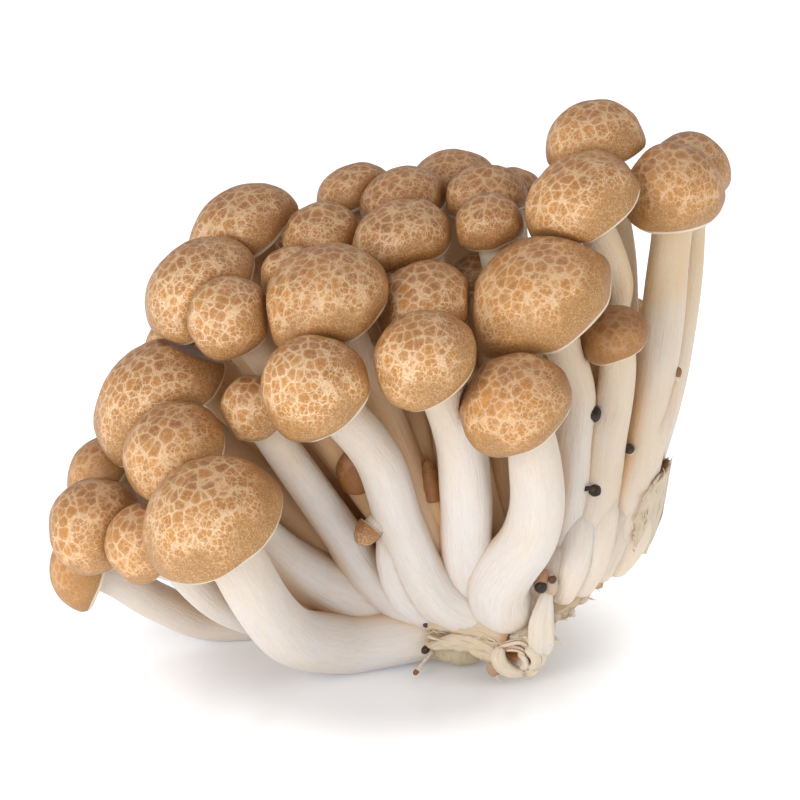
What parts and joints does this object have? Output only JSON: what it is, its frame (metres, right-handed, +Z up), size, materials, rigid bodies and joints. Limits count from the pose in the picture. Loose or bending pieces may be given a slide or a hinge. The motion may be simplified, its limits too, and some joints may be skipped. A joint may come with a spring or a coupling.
{
  "type": "beech mushroom cluster",
  "caption": "Fresh brown beech mushroom bunch, small speckled caps on white stems from one cut base, lying tipped on its side.",
  "frame": {"origin": "on the table under the middle of the bunch's footprint", "axes": "+X runs along the bunch from its low, outspread side to its tall side, +Y from its front to its far side, +Z up"},
  "size_m": [0.1362, 0.1189, 0.1122],
  "materials": {
    "stem_flesh": "moist white mushroom flesh, satin, with fine lengthwise fibres and tan shade in the creases",
    "cap_skin": "matt tan cap skin with ochre plates in a pale raised net, finer towards the edge",
    "button_skin": "dark speckled skin of a baby cap"
  },
  "bodies": {
    "root": {"stem_clump": "stem_flesh", "cap_01": "cap_skin", "cap_02": "cap_skin", "cap_03": "cap_skin", "cap_04": "cap_skin", "cap_05": "cap_skin", "cap_06": "cap_skin", "cap_07": "cap_skin", "cap_08": "cap_skin", "cap_09": "cap_skin", "cap_10": "cap_skin", "cap_11": "cap_skin", "cap_12": "cap_skin", "cap_13": "cap_skin", "cap_14": "cap_skin", "cap_15": "cap_skin", "cap_16": "cap_skin", "cap_17": "cap_skin", "cap_18": "cap_skin", "cap_19": "cap_skin", "cap_20": "cap_skin", "cap_21": "cap_skin", "cap_22": "cap_skin", "cap_23": "cap_skin", "cap_24": "cap_skin", "cap_25": "cap_skin", "cap_26": "cap_skin", "cap_27": "cap_skin", "cap_28": "cap_skin", "cap_29": "cap_skin", "cap_30": "cap_skin", "cap_31": "cap_skin", "cap_32": "cap_skin", "cap_33": "cap_skin", "cap_34": "cap_skin", "cap_35": "cap_skin", "cap_36": "cap_skin", "cap_37": "cap_skin", "cap_38": "cap_skin", "cap_39": "cap_skin", "cap_40": "cap_skin", "cap_41": "cap_skin", "cap_42": "cap_skin", "cap_43": "cap_skin", "cap_44": "cap_skin", "cap_45": "cap_skin", "button_cap": "button_skin"}
  },
  "joints": []
}
